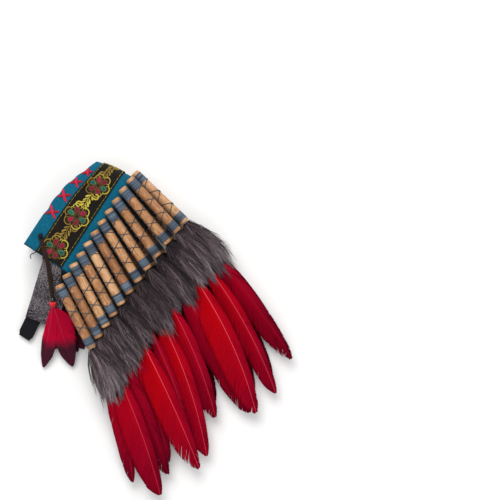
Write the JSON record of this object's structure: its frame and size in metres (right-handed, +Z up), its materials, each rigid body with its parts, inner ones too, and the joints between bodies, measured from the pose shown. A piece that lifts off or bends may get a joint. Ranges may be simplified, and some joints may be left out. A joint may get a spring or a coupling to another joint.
{
  "type": "feathered headdress",
  "caption": "Soft felt headdress, lying on its side, with an embroidered ribbon, wrapped sticks that end in fur tufts and long feathers, and side laces.",
  "frame": {"origin": "middle of the floor that the headdress covers where it lies on its side, without its side laces", "axes": "+X from the brim of the band across it towards the plumes, +Y along the band towards the forehead, +Z up from the floor"},
  "size_m": [0.3672, 0.3346, 0.0622],
  "materials": {
    "felt": "matte felt",
    "ribbon": "black ribbon with coloured and golden embroidery",
    "grey_felt": "heather felt",
    "elastic": "ribbed elastic",
    "stick_wood": "smooth unvarnished wood with blue-grey thread wrappings",
    "plume": "dyed feather with a tuft of dark fur",
    "lace": "soft suede",
    "bead": "polished",
    "side_feather": "dyed feather with a dark tip"
  },
  "bodies": {
    "root": {"felt_band": "felt", "braid_ribbon": "ribbon", "rear_flap_left": "grey_felt", "rear_flap_right": "grey_felt", "elastic_strap": "elastic", "stick_left_01": "stick_wood", "plume_left_01": "plume", "stick_right_01": "stick_wood", "plume_right_01": "plume", "stick_left_02": "stick_wood", "plume_left_02": "plume", "stick_right_02": "stick_wood", "plume_right_02": "plume", "stick_left_03": "stick_wood", "plume_left_03": "plume", "stick_right_03": "stick_wood", "plume_right_03": "plume", "stick_left_04": "stick_wood", "plume_left_04": "plume", "stick_right_04": "stick_wood", "plume_right_04": "plume", "stick_left_05": "stick_wood", "plume_left_05": "plume", "stick_right_05": "stick_wood", "plume_right_05": "plume", "stick_left_06": "stick_wood", "plume_left_06": "plume", "stick_right_06": "stick_wood", "plume_right_06": "plume", "stick_left_07": "stick_wood", "plume_left_07": "plume", "stick_right_07": "stick_wood", "plume_right_07": "plume", "stick_left_08": "stick_wood", "plume_left_08": "plume", "stick_right_08": "stick_wood", "plume_right_08": "plume", "stick_left_09": "stick_wood", "plume_left_09": "plume", "stick_right_09": "stick_wood", "plume_right_09": "plume", "stick_left_10": "stick_wood", "plume_left_10": "plume", "stick_right_10": "stick_wood", "plume_right_10": "plume", "stick_left_11": "stick_wood", "plume_left_11": "plume", "stick_right_11": "stick_wood", "plume_right_11": "plume", "stick_left_12": "stick_wood", "plume_left_12": "plume", "stick_right_12": "stick_wood", "plume_right_12": "plume", "side_lace_left": "lace", "side_bead_left": "bead", "side_feathers_left": "side_feather", "side_lace_right": "lace", "side_bead_right": "bead", "side_feathers_right": "side_feather"}
  },
  "joints": []
}
